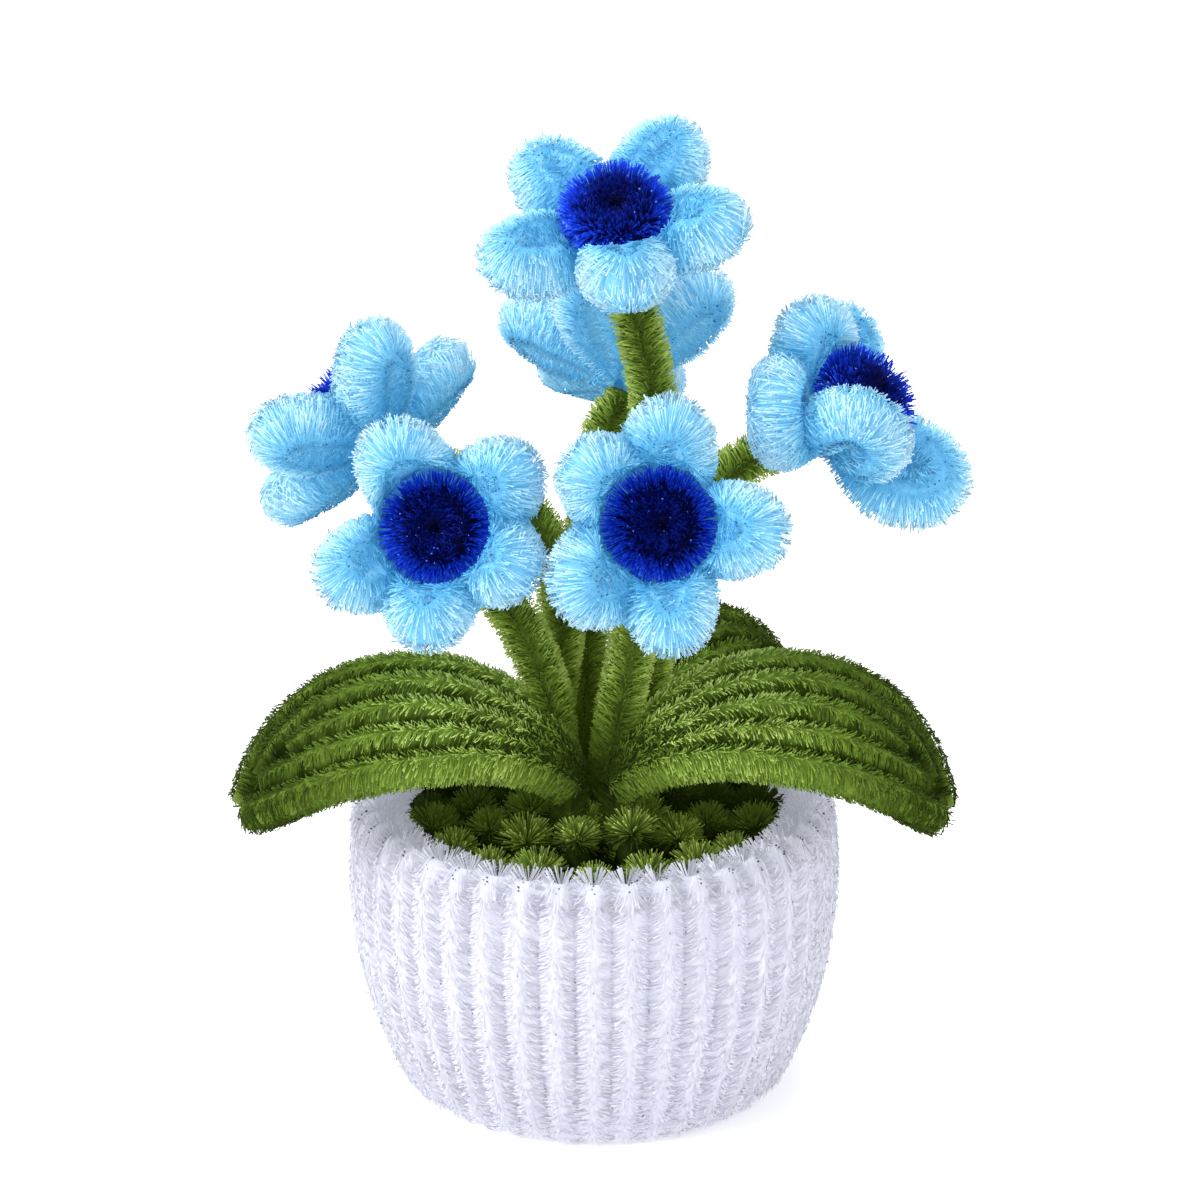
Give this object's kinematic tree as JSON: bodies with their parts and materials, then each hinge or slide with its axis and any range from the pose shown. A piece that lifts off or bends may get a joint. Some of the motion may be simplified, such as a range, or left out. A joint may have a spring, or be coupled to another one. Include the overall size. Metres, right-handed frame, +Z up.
{
  "type": "potted chenille-stem flower",
  "caption": "Craft plant of chenille stems: light-blue blooms with dark-blue coiled centres on green stalks, arched green leaves and moss in a white ribbed pot.",
  "frame": {"origin": "middle of the pot's flat underside, on the surface it stands on", "axes": "+Z up along the pot's axis, -Y towards the side that the picture shows, +X to its right"},
  "size_m": [0.1492, 0.1004, 0.1967],
  "materials": {
    "petal": "light-blue chenille pile",
    "centre": "dark-blue chenille pile",
    "stalk": "green chenille pile",
    "leaf": "green chenille pile",
    "moss": "dark green chenille pile",
    "pot": "white chenille pile",
    "foam": "matt foam"
  },
  "bodies": {
    "root": {"pot": "pot", "foam_plug": "foam", "moss": "moss", "stalk_front": "stalk", "petals_front": "petal", "centre_front": "centre", "stalk_left": "stalk", "petals_left": "petal", "centre_left": "centre", "stalk_top": "stalk", "petals_top": "petal", "centre_top": "centre", "stalk_side": "stalk", "petals_side": "petal", "centre_side": "centre", "stalk_right": "stalk", "petals_right": "petal", "centre_right": "centre", "stalk_back": "stalk", "petals_back": "petal", "centre_back": "centre", "leaf_left": "leaf", "leaf_right": "leaf", "leaf_back": "leaf"}
  },
  "joints": []
}
